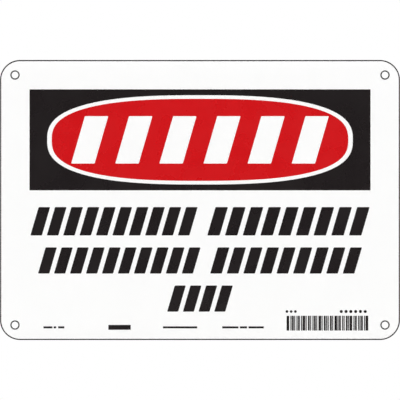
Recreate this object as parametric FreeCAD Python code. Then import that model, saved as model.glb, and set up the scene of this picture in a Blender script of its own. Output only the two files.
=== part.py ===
import FreeCAD, Part
import math
import os

# A screw-on wall sign, stamped from one rigid white plastic sheet and printed on its front.
# The origin is the centre of the back face, midway between the four screw holes.
# +X is the reader's right, +Z is up, and the printed front faces -Y. Millimetres.

# The stamped blank, ten by seven inches
sheet_width = 254.0
sheet_height = 177.8
sheet_thickness = 1.4
corner_radius = 12.7
# The stamping die rolls the front edge over a little and leaves the back edge square
edge_round = 0.2

# Screw holes, one in each corner, for 4 mm or number 8 screws
hole_diameter = 4.3
# From each of the two nearest edges of the sheet to the middle of the hole
hole_inset = 9.525

# Header panel, printed above the middle of the sheet
panel_width = 216.3
panel_height = 63.9
panel_rise = 38.2

# Oval in the panel, fuller than an ellipse: |x/a|^n + |z/b|^n = 1
oval_width = 194.3
oval_height = 56.9
oval_fullness = 2.65
# Bare ring between the panel and the field inside the oval
ring_at_sides = 3.1
ring_at_top = 2.5
oval_spans = 48

# Every stripe leans this far to the right for each millimetre of its height
stripe_lean = 0.29

# One run of bare stripes across the oval; the share is a stripe's part of each step along its run
oval_run = 163.8
oval_stripe_height = 30.3
oval_stripes = 6
oval_share = 0.535

# Centred rows of dark stripes below the panel, each row in one or two runs
rows_drop = 10.85
first_row_height = 17.8
next_row_height = 16.4
row_gap = 7.8
run_gap = 6.3
rows_share = 0.69
# Length of each run, row by row, and the number of stripes in it
run_lengths = ((106.0, 102.9), (103.0, 96.2), (41.5,))
run_stripes = ((10, 9), (10, 9), (4,))

V = FreeCAD.Vector
forward = V(0, -1, 0)
front = -sheet_thickness


def is_along(edge, direction):
    # True for a straight edge that runs along the given direction
    if not isinstance(edge.Curve, Part.Line):
        return False
    return abs(edge.Curve.Direction.dot(direction)) > 0.999


def front_face(solid):
    # The flat face that the reader sees
    return next(face for face in solid.Faces if abs(face.CenterOfMass.y - front) < 1e-6)


def blank():
    # Flat sheet with its four corners rounded off
    low_corner = V(-sheet_width / 2, front, -sheet_height / 2)
    sheet = Part.makeBox(sheet_width, sheet_thickness, sheet_height, low_corner)
    corners = [edge for edge in sheet.Edges if is_along(edge, forward)]
    return sheet.makeFillet(corner_radius, corners)


def punch_holes(sheet):
    # Round holes straight through, the same distance in from both edges of each corner
    reach_x = sheet_width / 2 - hole_inset
    reach_z = sheet_height / 2 - hole_inset
    for side in (-1, 1):
        for level in (-1, 1):
            middle = V(side * reach_x, 0, level * reach_z)
            punch = Part.makeCylinder(hole_diameter / 2, sheet_thickness, middle, forward)
            sheet = sheet.cut(punch)
    return sheet


def roll_front_edge(sheet):
    # The outer edge of the front, not the rims of the holes
    return sheet.makeFillet(edge_round, front_face(sheet).OuterWire.Edges)


def slab_field(left, width, bottom, height, lean=0):
    # Flat four-sided field in the plane of the front, its top pushed to the right by the lean
    low_left = V(left, front, bottom)
    top_left = V(left + lean, front, bottom + height)
    across = V(width, 0, 0)
    points = [low_left, low_left + across, top_left + across, top_left]
    return Part.Face(Part.makePolygon(points + points[:1]))


def stripe_run(left, length, bottom, height, count, share):
    # Equal slanted stripes that fill the run from end to end
    lean = stripe_lean * height
    step = (length - lean) / (count - 1 + share)
    return [slab_field(left + step * place, step * share, bottom, height, lean) for place in range(count)]


def rounded_power(value, exponent):
    # Power that keeps the sign of its base
    return math.copysign(abs(value) ** exponent, value)


def oval_field(width, height):
    # Smooth closed curve through points of the oval's formula, centred on the panel
    points = []
    for span in range(oval_spans):
        turn = 2 * math.pi * span / oval_spans
        x = width / 2 * rounded_power(math.cos(turn), 2 / oval_fullness)
        z = height / 2 * rounded_power(math.sin(turn), 2 / oval_fullness)
        points.append(V(x, front, panel_rise + z))
    curve = Part.BSplineCurve()
    curve.interpolate(Points=points, PeriodicFlag=True)
    return Part.Face(Part.Wire(curve.toShape()))


def header_fields():
    # Panel, oval, the field inside the bare ring, and the stripes across that field
    panel = slab_field(-panel_width / 2, panel_width, panel_rise - panel_height / 2, panel_height)
    outer = oval_field(oval_width, oval_height)
    inner = oval_field(oval_width - 2 * ring_at_sides, oval_height - 2 * ring_at_top)
    bottom = panel_rise - oval_stripe_height / 2
    stripes = stripe_run(-oval_run / 2, oval_run, bottom, oval_stripe_height, oval_stripes, oval_share)
    return [panel, outer, inner] + stripes


def row_fields():
    # Rows stacked downwards from the panel, each centred on the sheet
    fields = []
    top = panel_rise - panel_height / 2 - rows_drop
    height = first_row_height
    for lengths, counts in zip(run_lengths, run_stripes):
        row_width = sum(lengths) + run_gap * (len(lengths) - 1)
        left = -row_width / 2
        for length, count in zip(lengths, counts):
            fields += stripe_run(left, length, top - height, height, count, rows_share)
            left += length + run_gap
        top -= height + row_gap
        height = next_row_height
    return fields


def outline_print(sheet):
    # The edges of the printed fields, drawn on the front face with no depth of their own
    parted, _ = sheet.generalFuse(header_fields() + row_fields())
    return parted.Solids[0]


sign_plate = outline_print(roll_front_edge(punch_holes(blank())))

os.makedirs("parts", exist_ok=True)
sign_plate.exportStep("parts/sign_plate.step")
print("sign_plate", sign_plate.isValid(), len(sign_plate.Faces), "faces", round(sign_plate.Volume, 1), "mm3")
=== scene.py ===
import bpy
import bmesh
import math
from mathutils import Matrix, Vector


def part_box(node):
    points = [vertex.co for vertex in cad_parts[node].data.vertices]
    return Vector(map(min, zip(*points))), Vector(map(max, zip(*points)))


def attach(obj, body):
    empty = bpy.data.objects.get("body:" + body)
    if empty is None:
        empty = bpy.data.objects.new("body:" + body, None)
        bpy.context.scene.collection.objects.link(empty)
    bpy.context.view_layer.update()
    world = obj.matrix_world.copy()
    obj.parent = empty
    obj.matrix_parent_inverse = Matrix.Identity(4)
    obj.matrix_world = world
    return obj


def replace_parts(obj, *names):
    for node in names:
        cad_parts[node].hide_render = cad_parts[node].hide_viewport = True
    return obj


# A screw-on safety sign: a white plastic sheet, screen-printed in black and red.
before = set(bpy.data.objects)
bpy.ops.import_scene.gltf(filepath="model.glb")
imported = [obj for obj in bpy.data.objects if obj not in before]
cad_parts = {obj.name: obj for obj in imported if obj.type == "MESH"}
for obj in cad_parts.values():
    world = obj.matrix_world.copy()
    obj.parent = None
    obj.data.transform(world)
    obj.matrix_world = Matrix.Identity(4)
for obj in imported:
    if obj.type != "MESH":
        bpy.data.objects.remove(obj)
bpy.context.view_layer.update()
sheetLow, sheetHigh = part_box("sign_plate")
print("frame loaded with", len(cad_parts), "node")
mm = 0.001
sharpAngle = math.radians(35)   # an edge that turns by more than this stays crisp

# Shapes are drawn flat, x to the right and y up, with the front of the sheet at height 0.
# This stands them up in the sheet's place, facing the reader.
standUp = Matrix.Translation((0, sheetLow.y, 0)) @ Matrix.Rotation(math.radians(90), 4, "X")


# Drawing and printing

ink = {
    "film": 0.04 * mm,          # dry ink stands this much proud of the sheet
    "sunk": 0.02 * mm,          # and is keyed in by this much, so no two faces share a plane
    "spread": 0.1 * mm,         # wet ink runs this far past each edge of its artwork
}

stripe = {
    "lean": 0.29,               # sideways for each step up
    "rounding": 0.5 * mm,
    "cornerSegments": 6,
}


def drawRectangle(bm, left, right, bottom, top, rounding=0, segments=1, height=0, slant=0):
    # One flat face, a unit square stretched to size; slant is how far its top edge leans to the right
    middle = ((left + right) / 2, (bottom + top) / 2, height)
    place = Matrix.Translation(middle) @ Matrix.Diagonal((right - left, top - bottom, 1, 1))
    corners = bmesh.ops.create_grid(bm, x_segments=1, y_segments=1, size=0.5, matrix=place)["verts"]
    for corner in corners:
        if corner.co.y > middle[1]:
            corner.co.x += slant
    if rounding:
        corners = bmesh.ops.bevel(bm, geom=corners, offset=rounding, segments=segments,
                                  profile=0.5, affect="VERTICES", material=-1)["verts"]
    return corners[0].link_faces[0]


def drawStripes(bm, left, length, bottom, height, count, share):
    # Slanted stripes that fill a run from end to end; share is a stripe's part of each step along it
    slant = height * stripe["lean"]
    step = (length - slant) / (count - 1 + share)
    width, top = step * share, bottom + height
    starts = [left + step * k for k in range(count)]
    return [drawRectangle(bm, start, start + width, bottom, top, stripe["rounding"],
                          stripe["cornerSegments"], slant=slant) for start in starts]


def drawCircle(bm, x, y, radius, segments, height=0):
    middle = Matrix.Translation((x, y, height))
    ring = bmesh.ops.create_circle(bm, cap_ends=True, segments=segments, radius=radius, matrix=middle)
    return ring["verts"][0].link_faces[0]


def drawOval(bm, middleY, halfWidth, halfHeight, fullness, segments):
    # A circle pulled out to the fuller oval |x/a|^n + |y/b|^n = 1
    face = drawCircle(bm, 0, 0, 1, segments)
    for v in face.verts:
        x, y = v.co.x, v.co.y
        v.co.x = math.copysign(abs(x) ** (2 / fullness), x) * halfWidth
        v.co.y = math.copysign(abs(y) ** (2 / fullness), y) * halfHeight + middleY
    return face


def fillOutlines(bm, faces):
    # Fills between the faces' outlines, so that an inner outline becomes an opening
    edges = list({edge for face in faces for edge in face.edges})
    bmesh.ops.delete(bm, geom=faces, context="FACES_ONLY")
    filled = bmesh.ops.triangle_fill(bm, use_beauty=True, edges=edges, normal=(0, 0, 1))
    return [item for item in filled["geom"] if isinstance(item, bmesh.types.BMFace)]


def spreadOutline(bm, face, amount):
    # Grows an outline about its middle by the amount on every side; a negative amount shrinks it
    xs = [v.co.x for v in face.verts]
    ys = [v.co.y for v in face.verts]
    width, height = max(xs) - min(xs), max(ys) - min(ys)
    toMiddle = Matrix.Translation((-min(xs) - width / 2, -min(ys) - height / 2, 0))
    growth = (1 + 2 * amount / width, 1 + 2 * amount / height, 1)
    bmesh.ops.scale(bm, vec=growth, space=toMiddle, verts=face.verts[:])


def layInk(bm, fields, openings=()):
    # Prints the fields as one film of ink, with the openings left bare
    for face in fields:
        spreadOutline(bm, face, ink["spread"])
    for face in openings:
        spreadOutline(bm, face, -ink["spread"])
    faces = fillOutlines(bm, [*fields, *openings])
    bmesh.ops.translate(bm, vec=(0, 0, -ink["sunk"]), verts=bm.verts[:])
    raised = bmesh.ops.extrude_face_region(bm, geom=faces, use_keep_orig=True)
    top = [item for item in raised["geom"] if isinstance(item, bmesh.types.BMVert)]
    bmesh.ops.translate(bm, vec=(0, 0, ink["sunk"] + ink["film"]), verts=top)


def finishPiece(name, bm, material):
    # Closes the drawing into a piece of the sign, in its place and with its finish
    bmesh.ops.recalc_face_normals(bm, faces=bm.faces[:])
    bmesh.ops.transform(bm, matrix=standUp, verts=bm.verts[:])
    for face in bm.faces:
        face.smooth = True
    for edge in bm.edges:
        edge.smooth = edge.calc_face_angle(math.pi) < sharpAngle
    mesh = bpy.data.meshes.new(name)
    bm.to_mesh(mesh)
    bm.free()
    mesh.materials.append(material)
    piece = bpy.data.objects.new(name, mesh)
    bpy.context.scene.collection.objects.link(piece)
    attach(piece, "root")
    print("made", name, "with", len(mesh.polygons), "faces")
    return piece


# Materials

def hexColour(code):
    # sRGB hex to the linear colour that a shader takes
    channels = [int(code[i:i + 2], 16) / 255 for i in (1, 3, 5)]
    linear = [c / 12.92 if c <= 0.04045 else ((c + 0.055) / 1.055) ** 2.4 for c in channels]
    return (*linear, 1)


def addNode(tree, kind, settings=None, inputs=None):
    # settings are the node's own choices; an input takes a value or another node's output
    node = tree.nodes.new(kind)
    for name, value in (settings or {}).items():
        setattr(node, name, value)
    for socket, value in (inputs or {}).items():
        if isinstance(value, bpy.types.NodeSocket):
            tree.links.new(value, node.inputs[socket])
        else:
            node.inputs[socket].default_value = value
    return node


def newMaterial(name):
    material = bpy.data.materials.new(name)
    material.use_nodes = True
    material.node_tree.nodes.clear()
    return material, material.node_tree


noiseSpan = (0.3, 0.7)          # nearly all values of a noise pattern lie in here

sheetLook = {
    "colours": ("#fafafa", "#fcfcfc"),
    "cloud": 40 * mm,           # slow drift of the white, barely there
    "cloudDetail": 2,
    "grain": 0.9 * mm,          # rollers leave a grain near 0.3 mm, drawn coarser so that it shows
    "grainDetail": 3,
    "streak": 12,               # the grain is this much longer the way the sheet was rolled
    "relief": 0.004 * mm,
    "roughness": (0.34, 0.42),
    "ior": 1.57,
}

inkLook = {
    "black": ("#1f1a1b", "#231e1f"),
    "red": ("#cd0009", "#d3020c"),
    "cloud": 18 * mm,           # ink is laid a little thicker in places
    "cloudDetail": 4,
    "peel": 1.1 * mm,           # orange peel is near 0.5 mm, drawn coarser so that it shows
    "peelDetail": 2,
    "relief": 0.004 * mm,
    "roughness": (0.24, 0.32),
    "ior": 1.5,
}


def satinSkin(tree, look, colours, tint, polish, bumps):
    # Three noise patterns: the tint moves the colour, the polish the gloss, and the bumps the surface.
    # A colour Mix has its factor at socket 0, its two colours at 6 and 7, and its result at 2.
    darker, lighter = [hexColour(code) for code in colours]
    colour = addNode(tree, "ShaderNodeMix", {"data_type": "RGBA"}, {0: tint, 6: darker, 7: lighter})
    gloss = addNode(tree, "ShaderNodeMapRange", None,
                    {"Value": polish, "From Min": noiseSpan[0], "From Max": noiseSpan[1],
                     "To Min": look["roughness"][0], "To Max": look["roughness"][1]})
    bump = addNode(tree, "ShaderNodeBump", None, {"Height": bumps, "Distance": look["relief"]})
    skin = addNode(tree, "ShaderNodeBsdfPrincipled", None,
                   {"Base Color": colour.outputs[2], "Roughness": gloss.outputs["Result"],
                    "Normal": bump.outputs["Normal"], "IOR": look["ior"]})
    addNode(tree, "ShaderNodeOutputMaterial", None, {"Surface": skin.outputs["BSDF"]})


def calenderedPolystyrene(look):
    # Rigid sheet squeezed between polished rollers: opaque clean white with a soft satin gloss,
    # and a faint grain drawn out sideways that only shows where light grazes it
    material, tree = newMaterial("calendered polystyrene")
    place = addNode(tree, "ShaderNodeTexCoord").outputs["Object"]
    rolled = addNode(tree, "ShaderNodeMapping", None,
                     {"Vector": place, "Scale": (1 / look["streak"], 1, 1)}).outputs["Vector"]
    cloud = addNode(tree, "ShaderNodeTexNoise", None,
                    {"Vector": place, "Scale": 1 / look["cloud"], "Detail": look["cloudDetail"]})
    grain = addNode(tree, "ShaderNodeTexNoise", None,
                    {"Vector": rolled, "Scale": 1 / look["grain"], "Detail": look["grainDetail"]})
    satinSkin(tree, look, look["colours"], tint=cloud.outputs["Fac"],
              polish=grain.outputs["Fac"], bumps=grain.outputs["Fac"])
    return material


def screenInk(name, colours, look):
    # Ink pulled through a fine screen and cured: dense flat colour, satin, with a slight orange peel
    # and a hardly visible change of depth where the film is thicker
    material, tree = newMaterial(name)
    place = addNode(tree, "ShaderNodeTexCoord").outputs["Object"]
    cloud = addNode(tree, "ShaderNodeTexNoise", None,
                    {"Vector": place, "Scale": 1 / look["cloud"], "Detail": look["cloudDetail"]})
    peel = addNode(tree, "ShaderNodeTexNoise", None,
                   {"Vector": place, "Scale": 1 / look["peel"], "Detail": look["peelDetail"]})
    satinSkin(tree, look, colours, tint=cloud.outputs["Fac"],
              polish=cloud.outputs["Fac"], bumps=peel.outputs["Fac"])
    return material


whitePlastic = calenderedPolystyrene(sheetLook)
# Black ink for the print, also used for the painted shade lines along the edge and round the holes
blackInkAndPaintedShade = screenInk("black screen ink and painted edge shade", inkLook["black"], inkLook)
redInk = screenInk("red screen ink", inkLook["red"], inkLook)
print("materials ready")


# White sheet, stamped from stock

sheet = {
    "cornerRadius": 12.7 * mm,
    "cornerSegments": 32,
    "edgeRound": 0.2 * mm,      # the stamping die rolls the front edge over
    "edgeSteps": 4,
    "holeRadius": 2.15 * mm,
    "holeInset": 9.525 * mm,    # from both nearest edges to the middle of the hole
    "holeSegments": 96,
}


def drawRims(bm, radius, height=0):
    # The same circle round the middle of each hole
    x, y = sheetHigh.x - sheet["holeInset"], sheetHigh.z - sheet["holeInset"]
    return [drawCircle(bm, sideX * x, sideY * y, radius, sheet["holeSegments"], height)
            for sideX in (-1, 1) for sideY in (-1, 1)]


def insetFace(bm, face, thickness):
    bmesh.ops.inset_region(bm, faces=[face], thickness=thickness,
                           use_boundary=True, use_even_offset=True)


def rollInwards(bm, face, radius):
    # Steps a face in and up along a quarter round
    turns = [math.pi / 2 * step / sheet["edgeSteps"] for step in range(sheet["edgeSteps"] + 1)]
    for last, turn in zip(turns, turns[1:]):
        insetFace(bm, face, radius * (math.cos(last) - math.cos(turn)))
        rise = radius * (math.sin(turn) - math.sin(last))
        bmesh.ops.translate(bm, vec=(0, 0, rise), verts=face.verts[:])


def makeSheet():
    bm = bmesh.new()
    backHeight = sheetLow.y - sheetHigh.y
    back = drawRectangle(bm, sheetLow.x, sheetHigh.x, sheetLow.z, sheetHigh.z,
                         sheet["cornerRadius"], sheet["cornerSegments"], backHeight)
    wall = bmesh.ops.extrude_face_region(bm, geom=[back], use_keep_orig=True)
    front = next(item for item in wall["geom"] if isinstance(item, bmesh.types.BMFace))
    bmesh.ops.translate(bm, vec=(0, 0, -backHeight - sheet["edgeRound"]), verts=front.verts[:])
    rollInwards(bm, front, sheet["edgeRound"])
    frontRims = drawRims(bm, sheet["holeRadius"])
    backRims = drawRims(bm, sheet["holeRadius"], backHeight)
    holes = [near.edges[:] + far.edges[:] for near, far in zip(frontRims, backRims)]
    fillOutlines(bm, [front] + frontRims)
    fillOutlines(bm, [back] + backRims)
    for edges in holes:
        bmesh.ops.bridge_loops(bm, edges=edges)
    return finishPiece("white_sheet", bm, whitePlastic)


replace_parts(makeSheet(), "sign_plate")


# Painted shade: black lines along the sheet's cut edge and round each hole, standing in for the shade of
# those edges

paintedShadeLine = {
    "edgeWidth": 0.75 * mm,
    "ringWidth": 0.8 * mm,
    "ringGap": 0.01 * mm,       # the ring's inner wall stays off the wall of the hole
}


def paintEdgeShade():
    # Painted shade along the edge: it wraps over the rolled edge and runs a little way in
    bm = bmesh.new()
    film = ink["film"]
    face = drawRectangle(bm, sheetLow.x - film, sheetHigh.x + film,
                         sheetLow.z - film, sheetHigh.z + film,
                         sheet["cornerRadius"] + film, sheet["cornerSegments"], -sheet["edgeRound"])
    rollInwards(bm, face, sheet["edgeRound"] + film)
    insetFace(bm, face, paintedShadeLine["edgeWidth"] - sheet["edgeRound"])
    bmesh.ops.delete(bm, geom=[face], context="FACES")
    bmesh.ops.solidify(bm, geom=bm.faces[:], thickness=film + ink["sunk"])
    finishPiece("painted_edge_shade", bm, blackInkAndPaintedShade)


def paintHoleShade():
    # Painted shade round each hole. Its outline stops short by the spread, so that the spread ink ends
    # where it should
    bm = bmesh.new()
    inner = sheet["holeRadius"] + paintedShadeLine["ringGap"] + ink["spread"]
    outer = sheet["holeRadius"] + paintedShadeLine["ringWidth"] - ink["spread"]
    layInk(bm, drawRims(bm, outer), drawRims(bm, inner))
    finishPiece("painted_hole_shade", bm, blackInkAndPaintedShade)


paintEdgeShade()
paintHoleShade()


# Header: black panel, bare oval ring, red field

header = {
    "width": 216.3 * mm,
    "height": 63.9 * mm,
    "rise": 38.2 * mm,          # from the middle of the sheet to the middle of the panel
    "ovalWidth": 194.3 * mm,
    "ovalHeight": 56.9 * mm,
    "fullness": 2.65,           # 2 would be a plain ellipse
    "ringAtSides": 3.1 * mm,    # width of the bare ring at the oval's ends
    "ringAtTop": 2.5 * mm,      # and at its top and bottom
    "ovalSegments": 384,
    "run": 163.8 * mm,          # the stripes on the red, from the first to the last
    "stripeHeight": 30.3 * mm,
    "stripes": 6,
    "share": 0.535,
}


def printHeader(look):
    bottom = look["rise"] - look["height"] / 2
    halfWidth, halfHeight = look["ovalWidth"] / 2, look["ovalHeight"] / 2
    bm = bmesh.new()
    panel = drawRectangle(bm, -look["width"] / 2, look["width"] / 2, bottom, bottom + look["height"])
    oval = drawOval(bm, look["rise"], halfWidth, halfHeight, look["fullness"], look["ovalSegments"])
    layInk(bm, [panel], [oval])
    finishPiece("header_panel", bm, blackInkAndPaintedShade)

    bm = bmesh.new()
    field = drawOval(bm, look["rise"], halfWidth - look["ringAtSides"], halfHeight - look["ringAtTop"],
                     look["fullness"], look["ovalSegments"])
    stripes = drawStripes(bm, -look["run"] / 2, look["run"], look["rise"] - look["stripeHeight"] / 2,
                          look["stripeHeight"], look["stripes"], look["share"])
    layInk(bm, [field], stripes)
    finishPiece("header_oval", bm, redInk)


printHeader(header)


# Centred rows of the same stripe below the panel, each in one or two runs

stripeRows = {
    "drop": 10.85 * mm,         # from the panel to the first row
    "rowGap": 7.8 * mm,
    "runGap": 6.3 * mm,
    "share": 0.69,
    "rows": (                   # height, then the length and number of stripes of each run
        (17.8 * mm, ((106.0 * mm, 10), (102.9 * mm, 9))),
        (16.4 * mm, ((103.0 * mm, 10), (96.2 * mm, 9))),
        (16.4 * mm, ((41.5 * mm, 4),)),
    ),
}


def printStripeRows(look):
    top = header["rise"] - header["height"] / 2 - look["drop"]
    for number, (height, runs) in enumerate(look["rows"], start=1):
        bm = bmesh.new()
        left = -(sum(length for length, _ in runs) + look["runGap"] * (len(runs) - 1)) / 2
        stripes = []
        for length, count in runs:
            stripes += drawStripes(bm, left, length, top - height, height, count, look["share"])
            left += length + look["runGap"]
        layInk(bm, stripes)
        finishPiece(f"stripe_row_{number}", bm, blackInkAndPaintedShade)
        top -= height + look["rowGap"]


printStripeRows(stripeRows)


# Footer: lines of small plain dashes, and a strip of upright bars at the lower right

footer = {
    "middle": -80.86 * mm,
    "height": 1.05 * mm,
    "dashes": (                 # left and right end of each, line by line
        ((-99.3 * mm, -93.8 * mm), (-92.8 * mm, -91.4 * mm), (-90.0 * mm, -86.3 * mm)),
        ((-23.4 * mm, -1.9 * mm),),
        ((14.2 * mm, 24.3 * mm), (25.4 * mm, 29.8 * mm), (30.9 * mm, 40.4 * mm)),
    ),
    "block": (-58.1 * mm, -44.1 * mm),      # the one heavier bar
    "blockHeight": 2.9 * mm,
}

strip = {
    "left": 55.1 * mm,
    "right": 106.7 * mm,
    "bottom": -82.8 * mm,
    "top": -73.6 * mm,
    "bars": 36,
    "widths": (3, 1, 2, 1, 1, 2, 1),    # repeated along the strip, in modules; they encode nothing
    "gaps": (2, 1, 1, 2, 1),
    "dotSegments": 32,
    "dotMiddle": -70.8 * mm,
    "dotRuns": (                        # first and last middle, number of dots, and their radius
        (55.2 * mm, 60.6 * mm, 3, 0.73 * mm),
        (89.7 * mm, 104.9 * mm, 6, 0.87 * mm),
    ),
}


def drawBar(bm, ends, middle, height):
    left, right = ends
    return drawRectangle(bm, left, right, middle - height / 2, middle + height / 2)


def printFooter(look):
    bm = bmesh.new()
    bars = [drawBar(bm, ends, look["middle"], look["height"])
            for line in look["dashes"] for ends in line]
    bars.append(drawBar(bm, look["block"], look["middle"], look["blockHeight"]))
    layInk(bm, bars)
    finishPiece("footer_bars", bm, blackInkAndPaintedShade)


def printStrip(look):
    bm = bmesh.new()
    widths = [look["widths"][k % len(look["widths"])] for k in range(look["bars"])]
    gaps = [look["gaps"][k % len(look["gaps"])] for k in range(look["bars"] - 1)]
    module = (look["right"] - look["left"]) / (sum(widths) + sum(gaps))
    left = look["left"]
    marks = []
    for width, gap in zip(widths, gaps + [0]):
        marks.append(drawRectangle(bm, left, left + width * module, look["bottom"], look["top"]))
        left += (width + gap) * module
    for first, last, count, radius in look["dotRuns"]:
        for dot in range(count):
            x = first + (last - first) * dot / (count - 1)
            marks.append(drawCircle(bm, x, look["dotMiddle"], radius, look["dotSegments"]))
    layInk(bm, marks)
    finishPiece("bar_strip", bm, blackInkAndPaintedShade)


printFooter(footer)
printStrip(strip)


# Floor, light and camera

studio = {
    "floorDrop": 110 * mm,      # below the sign's lower edge, as the sign is held up by its screws
    "floorRadius": 600 * mm,
    "floorSegments": 128,
    "floorColour": "#e9e9e7",
    "fadeFrom": 250 * mm,       # from here out the floor turns into the white background
    "fadeTo": 570 * mm,
    "background": "#ffffff",
    "whiteStrength": 1,         # what glows at this strength renders as plain white
    "ambient": 0.5,             # light on the sign from all round
    "readerSide": 0.015,        # gloss sees a dim studio on the reader's side,
    "whiteFrom": -0.5,          # which turns to white as the reflection swings round to the back
    "whiteTo": 0.3,
    "lampDistance": 1500 * mm,
    "lampSize": 700 * mm,
    "lamps": (                  # azimuth from the reader's side and elevation, in degrees, and watts
        ("key_lamp", -58, 32, 10.7),
        ("fill_lamp", 58, 32, 10.7),
        ("back_lamp", 180, 40, 9.0),
    ),
    "lens": 200,                # in millimetres, as is the width of the sensor
    "sensor": 36,
}


def makeFloor(look):
    # Pale under the sign and white further out, but only to what looks at it, so it gives no light
    bm = bmesh.new()
    height = sheetLow.z - look["floorDrop"]
    drawCircle(bm, 0, 0, look["floorRadius"], look["floorSegments"], height)
    mesh = bpy.data.meshes.new("floor")
    bm.to_mesh(mesh)
    bm.free()
    material, tree = newMaterial("pale floor")
    place = addNode(tree, "ShaderNodeTexCoord")
    level = addNode(tree, "ShaderNodeVectorMath", {"operation": "MULTIPLY"},
                    {0: place.outputs["Object"], 1: (1, 1, 0)})
    away = addNode(tree, "ShaderNodeVectorMath", {"operation": "LENGTH"}, {0: level.outputs["Vector"]})
    fade = addNode(tree, "ShaderNodeMapRange", {"interpolation_type": "SMOOTHSTEP"},
                   {"Value": away.outputs["Value"],
                    "From Min": look["fadeFrom"], "From Max": look["fadeTo"]})
    rays = addNode(tree, "ShaderNodeLightPath")
    mirrored = addNode(tree, "ShaderNodeMath", {"operation": "MAXIMUM"},
                       {0: rays.outputs["Is Glossy Ray"], 1: rays.outputs["Is Transmission Ray"]})
    seen = addNode(tree, "ShaderNodeMath", {"operation": "MAXIMUM"},
                   {0: rays.outputs["Is Camera Ray"], 1: mirrored.outputs["Value"]})
    shown = addNode(tree, "ShaderNodeMath", {"operation": "MULTIPLY"},
                    {0: fade.outputs["Result"], 1: seen.outputs["Value"]})
    paint = addNode(tree, "ShaderNodeBsdfDiffuse", None, {"Color": hexColour(look["floorColour"])})
    white = addNode(tree, "ShaderNodeEmission", None,
                    {"Color": hexColour(look["background"]), "Strength": look["whiteStrength"]})
    mixed = addNode(tree, "ShaderNodeMixShader", None,
                    {0: shown.outputs["Value"], 1: paint.outputs["BSDF"], 2: white.outputs["Emission"]})
    addNode(tree, "ShaderNodeOutputMaterial", None, {"Surface": mixed.outputs["Shader"]})
    mesh.materials.append(material)
    floor = bpy.data.objects.new("floor", mesh)
    bpy.context.scene.collection.objects.link(floor)


def makeWorld(look):
    # White to the camera all round; gloss sees white behind the sign and a dim studio before it.
    # A plain Mix has its factor at socket 0, its two values at 2 and 3, and its result at 0.
    world = bpy.data.worlds.new("studio")
    world.use_nodes = True
    bpy.context.scene.world = world
    tree = world.node_tree
    tree.nodes.clear()
    rays = addNode(tree, "ShaderNodeLightPath")
    direction = addNode(tree, "ShaderNodeTexCoord")
    axes = addNode(tree, "ShaderNodeSeparateXYZ", None, {0: direction.outputs["Generated"]})
    behind = addNode(tree, "ShaderNodeMapRange", {"interpolation_type": "SMOOTHSTEP"},
                     {"Value": axes.outputs["Y"],
                      "From Min": look["whiteFrom"], "From Max": look["whiteTo"],
                      "To Min": look["readerSide"], "To Max": look["whiteStrength"]})
    seen = addNode(tree, "ShaderNodeMath", {"operation": "MAXIMUM"},
                   {0: rays.outputs["Is Camera Ray"], 1: rays.outputs["Is Transmission Ray"]})
    glossy = addNode(tree, "ShaderNodeMix", {"data_type": "FLOAT"},
                     {0: rays.outputs["Is Glossy Ray"], 2: look["ambient"], 3: behind.outputs["Result"]})
    strength = addNode(tree, "ShaderNodeMix", {"data_type": "FLOAT"},
                       {0: seen.outputs["Value"], 2: glossy.outputs[0], 3: look["whiteStrength"]})
    sky = addNode(tree, "ShaderNodeBackground", None,
                  {"Color": hexColour(look["background"]), "Strength": strength.outputs[0]})
    addNode(tree, "ShaderNodeOutputWorld", None, {"Surface": sky.outputs["Background"]})


def makeLamps(look):
    # Each lamp looks at the middle of the sign
    for name, azimuth, elevation, watts in look["lamps"]:
        lamp = bpy.data.lights.new(name, "AREA")
        lamp.shape = "DISK"
        lamp.size = look["lampSize"]
        lamp.energy = watts
        holder = bpy.data.objects.new(name, lamp)
        turn, tilt = math.radians(azimuth), math.radians(90 - elevation)
        outward = Matrix.Rotation(turn, 4, "Z") @ Matrix.Rotation(tilt, 4, "X")
        holder.matrix_world = outward @ Matrix.Translation((0, 0, look["lampDistance"]))
        holder.visible_camera = False
        bpy.context.scene.collection.objects.link(holder)


def makeCamera(look):
    # Straight on and level, and far enough back that the sheet just fills the frame's width
    camera = bpy.data.cameras.new("camera")
    camera.lens = look["lens"]
    camera.sensor_width = look["sensor"]
    holder = bpy.data.objects.new("camera", camera)
    distance = (sheetHigh.x - sheetLow.x) * look["lens"] / look["sensor"]
    holder.location = (0, sheetLow.y - distance, 0)
    holder.rotation_euler = (math.radians(90), 0, 0)
    bpy.context.scene.collection.objects.link(holder)
    bpy.context.scene.camera = holder


makeFloor(studio)
makeWorld(studio)
makeLamps(studio)
makeCamera(studio)
bpy.context.scene.view_settings.view_transform = "Standard"
print("stage ready")
